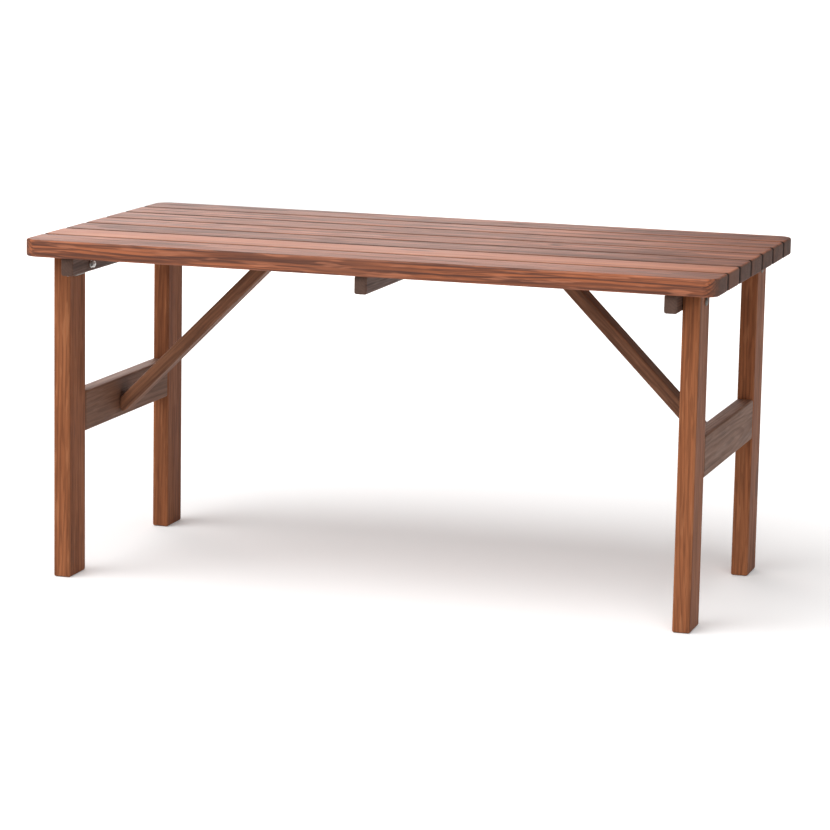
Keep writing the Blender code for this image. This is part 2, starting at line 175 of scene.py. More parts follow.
def ticks(half, arris, corner, cell):
    """Stations from one edge of a board's flat side to the other: close together in the round
    corners and beside the arrises, and about a cell apart in between."""
    reach = half - arris
    zone = min(max(corner - arris, cell * FINE), reach * 0.9)
    border = np.linspace(reach, reach - zone, 1 + max(1, round(zone / (cell * FINE))))
    inner = reach - zone
    count = max(2, round(2 * inner / cell))
    stations = np.concatenate((-border, np.linspace(-inner, inner, count), border))
    return np.unique(np.round(stations, 12))


def corner_radii(x, y, radii):
    """The corner radius that rules at each point: radii are those at the corners (-x -y),
    (+x -y), (+x +y) and (-x +y)."""
    left = np.where(y < 0, radii[0], radii[3])
    right = np.where(y < 0, radii[1], radii[2])
    return np.where(x < 0, left, right)


def board_surface(half, arris=ARRIS, corners=None, cell=CELL):
    """A board's surface about its own middle, as grids: x runs along it, y across and z through.

    Seen from above it is a rectangle with round corners. A point of the rectangle's corner square
    keeps its larger distance from the inner corner and takes it along the straight line to
    that corner, which turns squares into arcs. Over the edge, the outline stands in by
    arris * (1 - sin a) and the height falls by arris * (1 - cos a), with a from 0 to 90 degrees."""
    radii = corners or [arris * 1.15] * 4
    across = [ticks(h, arris, max(radii), cell) for h in half[:2]]
    x, y = np.meshgrid(*across, indexing="ij")
    radius = corner_radii(x, y, radii)
    inner = [np.clip(v, radius - h, h - radius) for v, h in zip((x, y), half)]
    away = np.stack([x - inner[0], y - inner[1]], axis=-1)
    length = np.linalg.norm(away, axis=-1)
    largest = np.abs(away).max(axis=-1)
    turn = np.divide(largest, length, out=np.ones_like(length), where=length > 0)
    flat = np.stack(inner, axis=-1) + away * turn[..., None]
    top = np.concatenate([flat, np.full(flat.shape[:2] + (1,), half[2])], axis=-1)
    bottom = (top * (1, 1, -1))[::-1]

    def ring(array):
        """The border of a grid, once round, back to where it began."""
        sides = (array[:-1, 0], array[-1, :-1], array[:0:-1, -1], array[0, ::-1])
        return np.concatenate(sides)

    middle = ring(np.stack(inner, axis=-1))
    out = ring(away) / ring(length)[:, None]
    reach = ring(radius)[:, None]
    angles = np.linspace(0, math.pi / 2, ARC_STEPS + 1)
    inset = arris * (1 - np.sin(angles))
    height = half[2] - arris * (1 - np.cos(angles))
    side = np.linspace(half[2] - arris, arris - half[2], 4)[1:-1]
    inset = np.concatenate((inset, 0 * side, inset[::-1]))
    height = np.concatenate((height, side, -height[::-1]))
    rim = middle[None] + out[None] * (reach[None] - inset[:, None, None])
    heights = np.broadcast_to(height[:, None, None], rim.shape[:2] + (1,))
    rim = np.concatenate([rim, heights], axis=-1)
    return [top, rim[:, ::-1], bottom]


def turned_surface(profile, sides=48):
    """A turned shape about +z: a profile of (height, radius), from pole to pole, carried round."""
    height, radius = np.array(profile).T
    angle = np.linspace(0, 2 * math.pi, sides + 1)
    x = radius[:, None] * np.cos(angle)
    y = radius[:, None] * np.sin(angle)
    z = np.broadcast_to(height[:, None], x.shape)
    return [np.stack([x, y, z], axis=-1)]


def placed(grids, axes, middle):
    """Grids turned so that their x, y and z run along the three given axes, about a middle."""
    matrix = np.array(axes, float)
    return [grid @ matrix + np.array(middle, float) for grid in grids]


def outward(piece):
    """Turns every face outwards."""
    shape = bmesh.new()
    shape.from_mesh(piece.data)
    bmesh.ops.recalc_face_normals(shape, faces=shape.faces)
    shape.to_mesh(piece.data)
    shape.free()


def carve(piece, cutters, operation="DIFFERENCE"):
    """Cuts helper shapes out of a piece, or joins them on, and removes the helpers."""
    for cutter in cutters:
        outward(cutter)
        boolean = piece.modifiers.new("carve", "BOOLEAN")
        boolean.object = cutter
        boolean.operation = operation
        boolean.solver = "EXACT"
    bpy.context.view_layer.update()
    graph = bpy.context.evaluated_depsgraph_get()
    carved = bpy.data.meshes.new_from_object(piece.evaluated_get(graph))
    piece.modifiers.clear()
    piece.data = carved
    for cutter in cutters:
        bpy.data.objects.remove(cutter)


# ---- The log that each board was sawn from ----


def mark_grain(piece, axes, middle, half, pith, seed, tone, slots):
    """Three attributes for the pine: grain is each point's place in its log, in metres along,
    across and through, marks is (how near an arris, how much end grain, tone), and slot is how
    deep a point lies in the narrow gap beside its slat, on the sides that slots names. The pine
    paints shade into the slot, and lightens the arris as wear with a painted highlight."""
    count = len(piece.data.vertices)
    points = np.empty(count * 3)
    piece.data.vertices.foreach_get("co", points)
    local = (points.reshape(-1, 3) - middle) @ np.array(axes, float).T
    depth = np.sort(np.abs(np.array(half) - np.abs(local)), axis=1)
    arris = np.clip(1 - depth[:, 1] / (PALE_EDGE * ARRIS), 0, 1)
    normals = np.empty(count * 3)
    piece.data.vertex_normals.foreach_get("vector", normals)
    end = np.abs(normals.reshape(-1, 3) @ np.array(axes[0], float))
    marks = np.stack([arris, end, np.full(count, tone)], axis=1)
    grain = local + (seed, -pith[0], -pith[1])
    inside = np.zeros(count)
    at_end = half[0] - np.abs(local[:, 0]) < SLAT_CORNER
    edge = np.where(at_end, SLOT_MOUTH * SLOT_EDGE, SLOT_EDGE)
    for sign in slots:
        inside = np.maximum(inside, np.clip((sign * local[:, 1] - half[1]) / edge + 1, 0, 1))
    slot = piece.data.attributes.new("slot", "FLOAT", "POINT")
    slot.data.foreach_set("value", inside.astype(np.float32))
    for name, values in (("grain", grain), ("marks", marks)):
        attribute = piece.data.attributes.new(name, "FLOAT_VECTOR", "POINT")
        attribute.data.foreach_set("vector", values.astype(np.float32).ravel())


def span(node, axis):
    """How far a frame node reaches along an axis: its lowest and highest value."""
    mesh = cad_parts[node].data
    points = np.empty(len(mesh.vertices) * 3)
    mesh.vertices.foreach_get("co", points)
    along = points.reshape(-1, 3) @ axis
    return np.array([along.min(), along.max()])


class Board:
    """A wooden piece that takes the place of one frame node. Its length, width and thickness run
    along three axes of the table, and length, if given, leaves out the node's tenons. Pith says
    where it was sawn in its log, and seed how far along it."""

    def __init__(
        self, node, axes, body, pith, seed, tone=0.5, corners=None, length=None, slots=()
    ):
        self.node = node
        self.body = body
        self.log = (pith, seed, tone, slots)
        self.axes = np.array(axes, float)
        spans = np.array([span(node, axis) for axis in self.axes])
        if length is not None:
            spans[0] = spans[0].mean() + np.array([-0.5, 0.5]) * length
        self.middle = spans.mean(axis=1) @ self.axes
        self.half = (spans[:, 1] - spans[:, 0]) / 2
        self.grids = board_surface(self.half, corners=corners)

    def mitre(self, tip):
        """Cuts both ends at 45 degrees and rounds their sharp tips. The half length is the full
        one less a point's height over the inner face, and below (1 + sqrt 0.5) tip it follows
        a circle of that radius, which touches both the cut and the inner face."""
        full = self.half[0]
        for grid in self.grids:
            height = grid[..., 2] + self.half[2]
            on_circle = np.sqrt(np.clip(tip**2 - (tip - height) ** 2, 0, None))
            rounded = full - (1 + math.sqrt(2)) * tip + on_circle
            cut = np.where(height < (1 + math.sqrt(0.5)) * tip, rounded, full - height)
            grid[..., 0] *= cut / full

    def build(self):
        points, quads = join_grids(placed(self.grids, self.axes, self.middle))
        self.piece = mesh_piece(self.node + "_wood", points, quads)
        outward(self.piece)
        return self.piece

    def finish(self, material, slot):
        mark_grain(self.piece, self.axes, self.middle, self.half, *self.log)
        dress(self.piece, self.body, material, slot, self.node)


def dress(piece, body, material, slot, *nodes, angle=32):
    """Shades a piece, gives it its material, puts it on its body and hides the nodes it replaces."""
    piece.data.shade_smooth()
    piece.data.set_sharp_from_angle(angle=math.radians(angle))
    piece.data.materials.clear()
    piece.data.materials.append(material)
    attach(piece, body)
    if nodes:
        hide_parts(*nodes)


# ---- Shader expressions ----


class Value:
    """A node's output. Arithmetic on it adds the Math nodes that work it out."""

    def __init__(self, nodes, socket):
        self.nodes = nodes
        self.socket = socket

    def math(self, operation, *values):
        inputs = dict(enumerate(values))
        return self.nodes.node("Math", {"operation": operation}, inputs)

    def __add__(self, other):
        return self.math("ADD", self, other)

    def __sub__(self, other):
        return self.math("SUBTRACT", self, other)

    def __rsub__(self, other):
        return self.math("SUBTRACT", other, self)

    def __mul__(self, other):
        return self.math("MULTIPLY", self, other)

    def __truediv__(self, other):
        return self.math("DIVIDE", self, other)

    def __pow__(self, other):
        return self.math("POWER", self, other)

    __radd__ = __add__
    __rmul__ = __mul__

    def part(self):
        """What is left over whole numbers."""
        return self.math("FRACT", self)

    def whole(self):
        """The whole number at or below."""
        return self.math("FLOOR", self)

    def between(self, low, high):
        """Rises smoothly from 0 at low to 1 at high."""
        inputs = {"Value": self, "From Min": low, "From Max": high}
        return self.nodes.node("MapRange", {"interpolation_type": "SMOOTHSTEP"}, inputs)


class Nodes:
    """The node tree of a material or of the air."""

    def __init__(self, tree):
        self.tree = tree

    def node(self, kind, settings=None, inputs=None, output=0):
        """Adds a node: its settings first, then the value or link of each socket."""
        made = self.tree.nodes.new("ShaderNode" + kind)
        for key, value in (settings or {}).items():
            setattr(made, key, value)
        for key, value in (inputs or {}).items():
            self.feed(made.inputs[key], value)
        return Value(self, made.outputs[output])

    def feed(self, socket, value):
        if isinstance(value, Value):
            self.tree.links.new(value.socket, socket)
        else:
            socket.default_value = value


class Paint(Nodes):
    """A material being made, around one Principled shader. Its constants are set here."""

    def __init__(self, name, **constants):
        self.material = bpy.data.materials.new(name)
        self.material.use_nodes = True
        super().__init__(self.material.node_tree)
        self.shader = self.tree.nodes["Principled BSDF"]
        for key, value in constants.items():
            socket = key.replace("_", " ").title().replace("Ior", "IOR")
            self.shader.inputs[socket].default_value = value

    def set(self, name, value):
        self.feed(self.shader.inputs[name], value)

    def noise(self, place, stretch, detail=2.0, roughness=0.5):
        """Noise on a place in metres, with stretch features in a metre along each axis."""
        scaled = self.node("VectorMath", {"operation": "MULTIPLY"}, {0: place, 1: stretch})
        inputs = {"Vector": scaled, "Scale": 1.0, "Detail": detail, "Roughness": roughness}
        return self.node("TexNoise", None, inputs)

    def blend(self, mask, first, second):
        """A colour between two, by a mask."""
        return self.node("Mix", {"data_type": "RGBA"}, {0: mask, 6: first, 7: second}, 2)

    def axes(self, place):
        """The three parts of a place."""
        return [self.node("SeparateXYZ", None, {0: place}, k) for k in range(3)]

    def attribute(self, name, output):
        return self.node("Attribute", {"attribute_name": name}, None, output)

    def bump(self, height, distance, strength=1.0):
        inputs = {"Height": height, "Distance": distance, "Strength": strength}
        self.set("Normal", self.node("Bump", None, inputs))


def rgb(red, green, blue):
    return (red, green, blue, 1.0)


# ---- Finishes ----


def pine(name, early, late, pale, cut, sheen, contrast=1.0):
    """Stained pine. The rings are shells around the pith, a ring apart, that wander slowly along
    the log. Each is pale where it grew in spring and dark where it ended in summer. Over them
    lie streaks, patches, flecks and fibres, all long with the grain, then knots, pale arrises
    that are partly wear and partly a painted highlight, the darker end grain and painted shade
    in the slots."""
    paint = Paint(name, specular_ior_level=sheen)
    grain = paint.attribute("grain", 1)
    slot = paint.attribute("slot", 2)
    arris, end, tone = paint.axes(paint.attribute("marks", 1))
    _, across, through = paint.axes(grain)
    sway = paint.noise(grain, (1.1, 2.0, 2.0)) - 0.5
    ripple = paint.noise(grain, (5.0, 30.0, 30.0)) - 0.5
    radius = (across * across + through * through) ** 0.5
    rings = radius / RING + sway * 9.0 + ripple * 1.4
    phase = rings.part()
    summer = phase.between(0.35, 0.85) * (1 - phase.between(0.88, 1.0))
    year = paint.node("TexWhiteNoise", {"noise_dimensions": "1D"}, {"W": rings.whole()})
    summer = summer * (0.3 + 0.7 * year)
    fibre = paint.noise(grain, (9.0, 600.0, 600.0), 3.0, 0.6)
    line = paint.noise(grain, (5.0, 210.0, 210.0), 3.0, 0.6)
    streak = paint.noise(grain, (2.6, 55.0, 55.0), 4.0, 0.6)
    patch = paint.noise(grain, (1.5, 16.0, 16.0))
    shade = paint.noise(grain, (2.2, 26.0, 26.0))
    fleck = paint.noise(grain, (13.0, 120.0, 120.0))
    wear_and_highlight = paint.noise(grain, (14.0, 40.0, 40.0))
    place = paint.node("VectorMath", {"operation": "MULTIPLY"}, {0: grain, 1: (2.3, 9.0, 6.0)})
    branch = paint.node("TexVoronoi", None, {"Vector": place, "Scale": 1.0, "Randomness": 1.0})

    stains = (
        (summer, 0.8 * contrast, late),
        (streak.between(0.46, 0.62), 0.45 * contrast, late),
        (patch.between(0.46, 0.68), 0.4 * contrast, pale),
        (line.between(0.48, 0.62), 0.6 * contrast, late),
        (shade.between(0.5, 0.68), 0.4 * contrast, late),
        (fleck.between(0.56, 0.70), 0.40, pale),
        ((1 - fleck).between(0.56, 0.70), 0.35, late),
        (fibre.between(0.45, 0.75), 0.25, late),
        ((tone - 0.5).between(0.0, 0.5), 0.6, pale),
        ((0.5 - tone).between(0.0, 0.5), 0.45, late),
        (1 - branch.between(0.07, 0.15), 0.6, late),
        # pale arrises: partly wear, partly a painted highlight on the rounded edges
        (arris.between(0.2, 1.0) * wear_and_highlight.between(0.35, 0.7), 0.65, pale),
        (end.between(0.35, 0.95), 0.75, cut),
        # painted shade in the narrow gaps between slats
        (slot.between(0.05, 0.6), 0.92, SLOT_SHADE),
    )
    colour = rgb(*early)
    for mask, strength, stain in stains:
        colour = paint.blend(mask * strength, colour, rgb(*stain))
    paint.set("Base Color", colour)
    paint.set("Roughness", 0.29 + 0.22 * fibre + 0.30 * streak + 0.08 * summer + 0.25 * end)
    paint.bump(0.6 * fibre + 0.4 * summer, 0.0004, 0.6)
    return paint.material


def plated_steel(name, colour, roughness):
    """Zinc plate: small facets of slightly different brightness, and rougher spots."""
    paint = Paint(name, metallic=1.0)
    place = paint.node("TexCoord", None, None, 3)
    facets = paint.node("TexVoronoi", None, {"Vector": place, "Scale": 900.0}, 1)
    spots = paint.noise(place, (260.0, 260.0, 260.0), 3.0, 0.6)
    dull = tuple(value * 0.62 for value in colour)
    value = paint.node("RGBToBW", None, {0: facets})
    shade = paint.blend(value * 0.5, rgb(*colour), rgb(*dull))
    paint.set("Base Color", paint.blend(spots.between(0.5, 0.8) * 0.4, shade, rgb(*dull)))
    paint.set("Roughness", roughness + 0.2 * spots)
    paint.bump(spots, 0.00005, 0.5)
    return paint.material


TOP_PINE = pine(
    "top_pine",
    early=(0.325, 0.092, 0.032),
    late=(0.056, 0.018, 0.011),
    pale=(0.50, 0.18, 0.09),
    cut=(0.076, 0.048, 0.038),
    sheen=0.32,
    contrast=1.25,
)
LEG_PINE = pine(
    "leg_pine",
    early=(0.275, 0.094, 0.038),
    late=(0.085, 0.029, 0.014),
    pale=(0.38, 0.155, 0.07),
    cut=(0.095, 0.050, 0.034),
    sheen=0.08,
    contrast=0.6,
)
BRACE_PINE = pine(
    "brace_pine",
    early=(0.225, 0.096, 0.049),
    late=(0.070, 0.033, 0.021),
    pale=(0.31, 0.150, 0.088),
    cut=(0.090, 0.052, 0.038),
    sheen=0.12,
    contrast=0.7,
)
RAIL_PINE = pine(
    "rail_pine",
    early=(0.20, 0.096, 0.056),
    late=(0.080, 0.041, 0.027),
    pale=(0.26, 0.142, 0.095),
    cut=(0.090, 0.054, 0.040),
    sheen=0.12,
    contrast=0.55,
)
BATTEN_PINE = pine(
    "batten_pine",
    early=(0.130, 0.068, 0.046),
    late=(0.055, 0.031, 0.024),
    pale=(0.18, 0.115, 0.085),
    cut=(0.085, 0.050, 0.038),
    sheen=0.20,
)
DULL_STEEL = plated_steel("dull_steel", (0.20, 0.18, 0.165), 0.45)
HINGE_STEEL = plated_steel("hinge_steel", (0.42, 0.41, 0.39), 0.38)
ZINC_STEEL = plated_steel("zinc_steel", (0.72, 0.72, 0.70), 0.22)

# ---- Places on the table, and helpers that cut ----


class Box:
    """The space that a frame node fills."""

    def __init__(self, low, high):
        self.low = np.array(low)
        self.high = np.array(high)
        self.middle = (self.low + self.high) / 2
        self.half = (self.high - self.low) / 2


def box_of(node):
    return Box(*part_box(node))


def outward_x(side):
    return X if side == "right" else -X


def down_brace(side):
    """Along a brace, from under the top down to the crossrail."""
    return math.sqrt(0.5) * (outward_x(side) - Z)


def out_of_brace(side):
    """Square to a brace, from its inner face to its outer one."""
    return math.sqrt(0.5) * (outward_x(side) + Z)


def block(one, other):
    """A helper block between two opposite corners, with hardly rounded edges."""
    box = Box(np.minimum(one, other), np.maximum(one, other))
    grids = board_surface(box.half, arris=2 * STEEL_EDGE, cell=0.1)
    return mesh_piece("helper_block", *join_grids(placed(grids, np.eye(3), box.middle)))


def square_to(direction):
    """Three axes at right angles, the third one along a direction."""
    direction = np.array(direction, float)
    first = np.cross(direction, X if abs(direction[0]) < 0.9 else Y)
    first /= np.linalg.norm(first)
    return first, np.cross(direction, first), direction


def drill(middle, direction, half_length, radius):
    """A helper round bar about a middle."""
    profile = [(-half_length, 0), (-half_length, radius), (half_length, radius), (half_length, 0)]
    grids = placed(turned_surface(profile, 32), square_to(direction), middle)
    return mesh_piece("helper_bar", *join_grids(grids))


def leaf_pocket(leaf, pin, out, start_z):
    """The helper block for a let-in leaf: from start_z up to the leaf's end, and as deep as the
    leaf lies from the hinge's axis, away along out."""
    side = (leaf.half[1] + FIT_GAP) * Y
    deep = LEG_LEAF_NEAR + LEAF_THICK + FIT_GAP
    low = (pin.middle - side) * (1, 1, 0) + start_z * Z
    high = (pin.middle + side) * (1, 1, 0) + (leaf.high[2] + FIT_GAP) * Z
    return block(low - 2 * OPEN * out, high + deep * out)


def batten_cutters(row, side):
    """An end batten's recess for the hinge leaf, open at its lower edge, and its bolt hole."""
    leaf = box_of(f"hinge_batten_leaf_{row}_{side}")
    pin = box_of(f"hinge_pin_{row}_{side}")
    bolt = box_of(f"batten_bolt_{row}_{side}")
    pocket = leaf_pocket(leaf, pin, -outward_x(side), pin.middle[2] - OPEN)
    return [pocket, drill(bolt.middle, X, THROUGH, bolt.half[2] + FIT_GAP)]


def leg_cutters(row, side):
    """A leg's recess for the hinge leaf, the groove for the knuckles and its bolt hole."""
    leaf = box_of(f"hinge_leg_leaf_{row}_{side}")
    pin = box_of(f"hinge_pin_{row}_{side}")
    bolt = box_of(f"batten_bolt_{row}_{side}")
    out = outward_x(side)
    room = pin.middle[2] - leaf.low[2] + KNUCKLE_ROOM
    half = np.array((0, leaf.half[1] + 1.5 * FIT_GAP, room))
    groove = block(pin.middle - half - THROUGH * out, pin.middle + half + room * out)
    hole = drill(bolt.middle + 2 * OPEN * out, X, 2 * THROUGH, bolt.half[2] + FIT_GAP)
    return [leaf_pocket(leaf, pin, out, pin.middle[2]), groove, hole]


def rail_cutters(side):
    """A crossrail's recess for the striking plate, open on its inner face."""
    plate = box_of(f"striking_plate_{side}")
    around = FIT_GAP * (Y + Z)
    inward = -OPEN * outward_x(side)
    low = plate.low - around + np.minimum(inward, 0)
    return [block(low, plate.high + around + np.maximum(inward, 0))]


# ---- The boards ----


def make_slats():
    """Seven slats of flat-sawn pine, the outer two with the table's round corners."""
    for number in range(1, SLATS + 1):
        front = TOP_CORNER if number == 1 else SLAT_CORNER
        back = TOP_CORNER if number == SLATS else SLAT_CORNER
        pith = (0.012 * math.sin(2.1 * number), -0.05 - 0.02 * math.cos(1.7 * number))
        slat = Board(
            f"slat_{number}",
            (X, Y, Z),
            "table_top",
            pith,
            seed=3.1 * number,
            tone=SLAT_TONES[number - 1],
            corners=(front, front, back, back),
            slots=[sign for sign in (-1, 1) if 1 <= number + sign <= SLATS],
        )
        slat.build()
        slat.finish(TOP_PINE, "top_pine")


def make_battens():
    """Three battens across under the slats, the end ones cut out for the leg hinges."""
    for number, name in enumerate(("left", "middle", "right")):
        seed = 30 + 2.3 * number
        batten = Board(f"batten_{name}", (Y, Z, X), "table_top", BATTEN_PITH, seed)
        piece = batten.build()
        if name in SIDES:
            carve(piece, [cutter for row in ROWS for cutter in batten_cutters(row, name)])
        batten.finish(BATTEN_PINE, "batten_pine")


def make_leg_frames():
    """Two legs at each end and the crossrail between their shoulders."""
    for side in SIDES:
        body = f"leg_frame_{side}"
        for row in ROWS:
            seed = 50 + 4.7 * len(side) + 1.9 * len(row)
            leg = Board(f"leg_{row}_{side}", (Z, Y, X), body, LEG_PITH, seed)
            carve(leg.build(), leg_cutters(row, side))
            leg.finish(LEG_PINE, "leg_pine")
        length = 2 * (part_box(f"leg_back_{side}")[0].y - FIT_GAP)
        seed = 80 + 3.3 * len(side)
        rail = Board(f"crossrail_{side}", (Y, Z, X), body, RAIL_PITH, seed, length=length)
        carve(rail.build(), rail_cutters(side))
        rail.finish(RAIL_PINE, "leg_pine")


def make_braces():
    """Two diagonal braces, both ends cut at 45 degrees. The inner face is the longest. It runs
    from the level cut's height down to the upright cut's x, which takes sqrt 2 times their sum
    less twice the inner face's distance from the origin."""
    for side in SIDES:
        node = f"brace_{side}"
        axes = (down_brace(side), Y, out_of_brace(side))
        low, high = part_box(node)
        inner = span(node, axes[2])[0]
        length = math.sqrt(2) * (max(-low.x, high.x) + high.z) - 2 * inner
        seed = 95 + 2.9 * len(side)
        brace = Board(node, axes, f"brace_arm_{side}", BRACE_PITH, seed, length=length)
        brace.mitre(BRACE_TIP)
        catch = box_of(f"ball_catch_{side}")
        deep = catch.half[0] + 0.2 * OPEN
        bore = drill(catch.middle, outward_x(side), deep, catch.half[2] + FIT_GAP)
        carve(brace.build(), [bore])
        brace.finish(BRACE_PINE, "brace_pine")


make_slats()
make_battens()
make_leg_frames()
make_braces()

# ---- The fittings ----


def fitting(name, grids, axes, at, body, material, slot, *nodes, cutters=(), joined=()):
    """A metal piece: its grids are turned so that their x, y and z run along three axes."""
    piece = mesh_piece(name, *join_grids(placed(grids, axes, at)))
    outward(piece)
    if joined:
        carve(piece, joined, "UNION")
    if cutters:
        carve(piece, cutters)
    dress(piece, body, material, slot, *nodes)


def chamfered_bar(length, radius, edge):
    """A round bar's profile, from pole to pole, with narrow chamfers."""
    inner = radius - edge
    return [(0, 0), (0, inner), (edge, radius), (length - edge, radius), (length, inner), (length, 0)]


def chamfered_ring(length, bore, radius, edge):
    """A ring's profile, once round its section."""
    outer = [(0, radius - edge), (edge, radius), (length - edge, radius), (length, radius - edge)]
    return [(0, bore), *outer, (length, bore), (0, bore)]


def coach_bolt(length, shank, head, high):
    """A bolt's profile: a shank, then a low round head whose height is high * sin a and whose
    radius is head * cos a, on a short upright edge."""
    seat = length - high
    edge = 0.1 * high
    angle = np.linspace(0, math.pi / 2, 10)
    dome = np.stack([seat + edge + (high - edge) * np.sin(angle), head * np.cos(angle)], axis=1)
    shaft = chamfered_bar(seat, shank, 2 * STEEL_EDGE)[:3] + [(seat, shank), (seat, 0.97 * head)]
    return shaft + dome.tolist()


def threaded_stud(length, radius, pitch, threaded):
    """A stud along +z with a thread on its last stretch. There its radius falls by a V that goes
    once round while it climbs one pitch: radius - depth * |2 * frac(z / pitch - turn) - 1|."""
    chamfer = 0.0005
    start = length - threaded
    thread = np.arange(start, length - 1.2 * chamfer, pitch / 6)
    z = np.concatenate(([0, chamfer], thread, [length - chamfer]))
    height, turn = np.meshgrid(z, np.linspace(0, 1, 25), indexing="ij")
    groove = np.abs(2 * ((height / pitch - turn) % 1) - 1) * (height > start) * (height < z[-1])
    reach = radius - 0.55 * pitch * groove - chamfer * (height == 0)
    end = np.stack([height[0] * 0 + length, reach[0] - 0.8 * chamfer], axis=0)
    height = np.concatenate([height[:1], height, end[:1], end[:1]])
    reach = np.concatenate([0 * reach[:1], reach, end[1:], 0 * reach[:1]])
    angle = 2 * math.pi * turn[:1]
    return [np.stack([reach * np.cos(angle), reach * np.sin(angle), height], axis=-1)]


def hexagon_nut(length, bore, flats):
    """A nut along +z, once round its section. A hexagon's radius at an angle is half its width
    over flats, divided by the cosine of the angle from the nearest flat's middle. At both ends
    a cone of 30 degrees takes its points off."""
    angle = np.linspace(0, 2 * math.pi, 73)
    nearest = (angle + math.pi / 6) % (math.pi / 3) - math.pi / 6
    hexagon = flats / 2 / np.cos(nearest)
    depth = np.array([0, 0.0003, 0.0008, 0.0014])
    height = np.concatenate((depth, length - depth[::-1]))
    from_end = np.minimum(height, length - height)
    cone = 0.95 * flats / 2 + from_end * math.sqrt(3)
    reach = np.minimum(hexagon[None], cone[:, None])
    edge = 0.0005
    hole = np.array([bore + edge, bore, bore, bore + edge])
    hole = np.broadcast_to(hole[:, None], (len(hole), len(angle)))
    inner_height = np.array([length, length - edge, edge, 0])
    reach = np.concatenate([reach, hole, reach[:1]])
    height = np.concatenate([height, inner_height, height[:1]])[:, None]
    height = np.broadcast_to(height, reach.shape)
    return [np.stack([reach * np.cos(angle), reach * np.sin(angle), height], axis=-1)]


def cross_screw(head=SCREW_HEAD, sunk=0.0002):
    """A countersunk screw along +z, head at 0 and up. The head is a disc that dips by a cross:
    the product of a smooth step across each arm and one along it."""
    radius = np.concatenate((np.linspace(0, 0.7 * head, 11), [0.9 * head, head]))
    angle = np.linspace(0, 2 * math.pi, 49)
    x = radius[:, None] * np.cos(angle)
    y = radius[:, None] * np.sin(angle)
    near = np.minimum(np.abs(x), np.abs(y))
    far = np.maximum(np.abs(x), np.abs(y))
    arm = np.clip((0.15 * head - near) / (0.1 * head), 0, 1)
    reach = np.clip((0.62 * head - far) / (0.15 * head), 0, 1)
    top = np.stack([x, y, -sunk - 0.0013 * arm * reach], axis=-1)
    profile = [
        (-sunk, head),
        (-2 * sunk, head),
        (-0.0024, 0.45 * head),
        (-SCREW_DEEP, 0.4 * head),
        (-SCREW_DEEP, 0),
    ]
    return [top, *turned_surface(profile)]


def screws(name, places, direction, body):
    """One piece that holds several screws, heads facing along a direction."""
    grids = [grid for at in places for grid in placed(cross_screw(), square_to(direction), at)]
    fitting(name, grids, np.eye(3), (0, 0, 0), body, ZINC_STEEL, "zinc_steel")


def countersink(at, direction):
    """A helper cone for a screw's head, its wide end at a surface that faces along direction."""
    shank = 0.0019
    wide = SCREW_HEAD + FIT_GAP
    above = 0.1 * OPEN
    hole = [(-SCREW_DEEP, 0), (-SCREW_DEEP, shank), (-0.0022, shank)]
    profile = hole + [(0, wide), (above, wide), (above, 0)]
    grids = placed(turned_surface(profile, 32), square_to(direction), at)
    return mesh_piece("helper_cone", *join_grids(grids))


def leaf_plate(start, stop, low, high, lift, thick, corner):
    """A thin plate from start to stop along x and low to high along y, its middle at z = lift,
    with its far corners rounded."""
    half = np.array((stop - start, high - low, thick)) / 2
    middle = np.array(((start + stop) / 2, (low + high) / 2, lift))
    corners = (PIN_EDGE, corner, corner, PIN_EDGE)
    grids = board_surface(half, arris=STEEL_EDGE, corners=corners, cell=0.01)
    return [grid + middle for grid in grids]


class Hinge:
    """What both leaves of a hinge share: its pin, how near its axis they lie, the radius of the
    knuckles and how much room the plates leave round them."""

    def __init__(self, pin, near, knuckle, room):
        self.pin = box_of(pin)
        self.near = near
        self.knuckle = knuckle
        self.room = room

    def leaf(self, node, body, up, off, knuckles, holes):
        """A plate with its knuckles on tongues. It reaches along up, and lies off the axis."""
        axes = np.array([up, Y, off])
        reach = span(node, axes[0])[1] - self.pin.middle @ axes[0]
        width = box_of(node).half[1]
        bore = self.pin.half[0] + 0.4 * KNUCKLE_ROOM
        lift = self.near + LEAF_THICK / 2
        helpers = []
        for low, high in knuckles:
            begin, end = bore + 0.0008, self.room + 0.003
            tongue = leaf_plate(begin, end, low, high, lift, LEAF_THICK - 0.0004, PIN_EDGE)
            ring = chamfered_ring(high - low, bore, self.knuckle, STEEL_EDGE)
            ring = placed(turned_surface(ring, 32), (Z, X, Y), (0, low, 0))
            for grids in (tongue, ring):
                points, quads = join_grids(placed(grids, axes, self.pin.middle))
                helpers.append(mesh_piece("helper_knuckle", points, quads))
        fitting(
            node + "_steel",
            leaf_plate(self.room, reach, -width, width, lift, LEAF_THICK - 0.0001, LEAF_CORNER),
            axes,
            self.pin.middle,
            body,
            HINGE_STEEL,
            "hinge_steel",
            node,
            joined=helpers,
            cutters=holes,
        )


def knuckle_spans(width):
    """Where the knuckles of a hinge's two leaves are along its pin: outer ones and middle one,
    which is a third of the width less a gap at each end."""
    split = width / 6
    gap = 0.0004
    return [(-width / 2, -split), (split, width / 2)], [(gap - split, split - gap)]


def make_pin(node):
    box = box_of(node)
    grids = turned_surface(chamfered_bar(2 * box.half[1], box.half[0], PIN_EDGE), 32)
    start = box.middle - box.half[1] * Y
    fitting(node + "_steel", grids, (Z, X, Y), start, "table_top", ZINC_STEEL, "zinc_steel", node)


